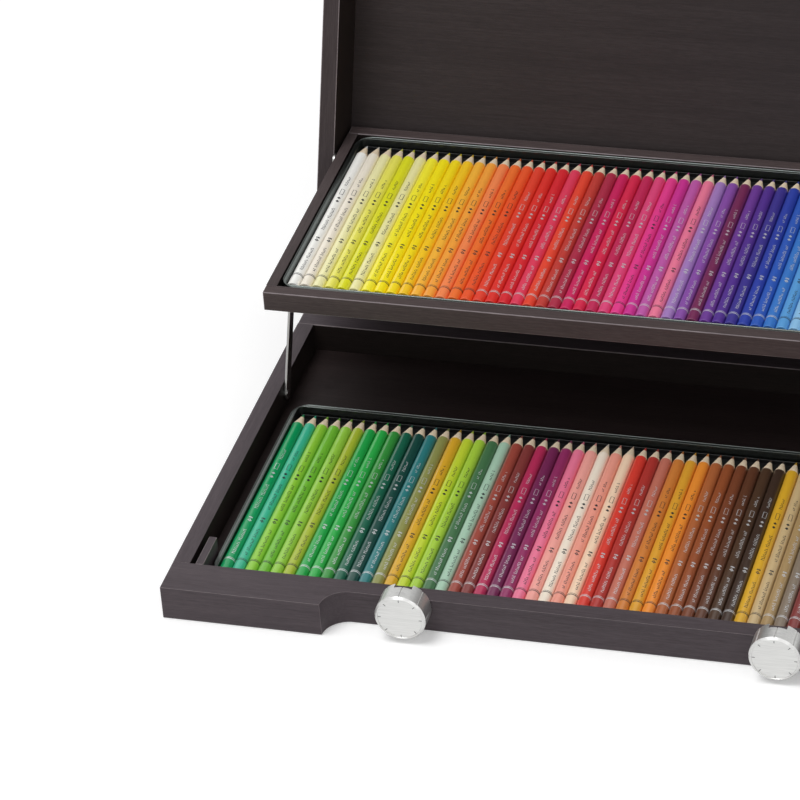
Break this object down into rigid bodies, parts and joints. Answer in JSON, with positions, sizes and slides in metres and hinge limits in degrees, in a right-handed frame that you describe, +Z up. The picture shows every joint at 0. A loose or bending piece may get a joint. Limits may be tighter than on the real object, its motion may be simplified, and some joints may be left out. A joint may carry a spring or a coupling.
{
  "type": "two-level fold-out pencil case",
  "caption": "Dark wood case whose hinged lid lifts a second tray of coloured pencils on steel struts above the lower row.",
  "frame": {"origin": "centre of the base's underside", "axes": "+X along the long side, +Y from the front rail to the hinges, +Z up"},
  "size_m": [0.528, 0.4947, 0.319],
  "materials": {
    "dark_wood": "satin",
    "dark_board": "matte",
    "grey_tin": "satin",
    "black_insert": "matte",
    "lower_pencil_paint": "gloss lacquer",
    "upper_pencil_paint": "gloss lacquer",
    "steel": "satin",
    "knob_metal": "brushed"
  },
  "bodies": {
    "base": {"base_front_rail": "dark_wood", "base_back_rail": "dark_wood", "base_left_side": "dark_wood", "base_right_side": "dark_wood", "base_floor": "dark_board", "base_left_block": "dark_wood", "base_right_block": "dark_wood", "lower_tin": "grey_tin", "lower_insert": "black_insert", "lower_pencils": "lower_pencil_paint", "strut_base_screw_left": "steel", "strut_base_screw_right": "steel", "strut_base_washers": "steel", "hinge_base_leaves": "steel", "hinge_pins": "steel"},
    "lid": {"lid_panel": "dark_board", "lid_front_rail": "dark_wood", "lid_back_rail": "dark_wood", "lid_left_side": "dark_wood", "lid_right_side": "dark_wood", "lid_bracket_left": "steel", "lid_bracket_right": "steel", "hinge_lid_leaves": "steel", "lid_catches": "steel"},
    "strut_left": {"strut_left": "steel"},
    "strut_right": {"strut_right": "steel"},
    "tray": {"tray_front_rail": "dark_wood", "tray_back_rail": "dark_wood", "tray_left_side": "dark_wood", "tray_right_side": "dark_wood", "tray_floor": "dark_board", "upper_tin": "grey_tin", "upper_insert": "black_insert", "upper_pencils": "upper_pencil_paint", "tray_strut_screws": "steel", "tray_lid_pins": "steel"},
    "knob_left": {"knob_left": "knob_metal", "knob_left_spindle": "steel", "knob_left_nut": "steel"},
    "knob_right": {"knob_right": "knob_metal", "knob_right_spindle": "steel", "knob_right_nut": "steel"}
  },
  "joints": [
    {"name": "lid_hinge", "type": "hinge", "parent": "base", "child": "lid", "pos_m": [0, 0.165, 0.0188], "axis": [1, 0, 0], "range_deg": [0, 112.5]},
    {"name": "strut_left_pivot", "type": "hinge", "parent": "base", "child": "strut_left", "pos_m": [-0.252, 0.0675, 0.0135], "axis": [1, 0, 0], "range_deg": [0, 112.5]},
    {"name": "strut_right_pivot", "type": "hinge", "parent": "base", "child": "strut_right", "pos_m": [0.252, 0.0675, 0.0135], "axis": [1, 0, 0], "range_deg": [0, 112.5]},
    {"name": "tray_pivot", "type": "hinge", "parent": "strut_left", "child": "tray", "pos_m": [-0.252, 0.1079, 0.10014], "axis": [1, 0, 0], "range_deg": [-112.5, 0]},
    {"name": "knob_left_turn", "type": "hinge", "parent": "base", "child": "knob_left", "pos_m": [-0.1138, -0.1615, 0.0179], "axis": [0, 1, 0], "range_deg": [0, 90]},
    {"name": "knob_right_turn", "type": "hinge", "parent": "base", "child": "knob_right", "pos_m": [0.1138, -0.1615, 0.0179], "axis": [0, -1, 0], "range_deg": [0, 90]}
  ],
  "couplings": [
    {"joint": "strut_left_pivot", "follows": "lid_hinge", "ratio": 1},
    {"joint": "strut_right_pivot", "follows": "lid_hinge", "ratio": 1},
    {"joint": "tray_pivot", "follows": "lid_hinge", "ratio": -1}
  ]
}
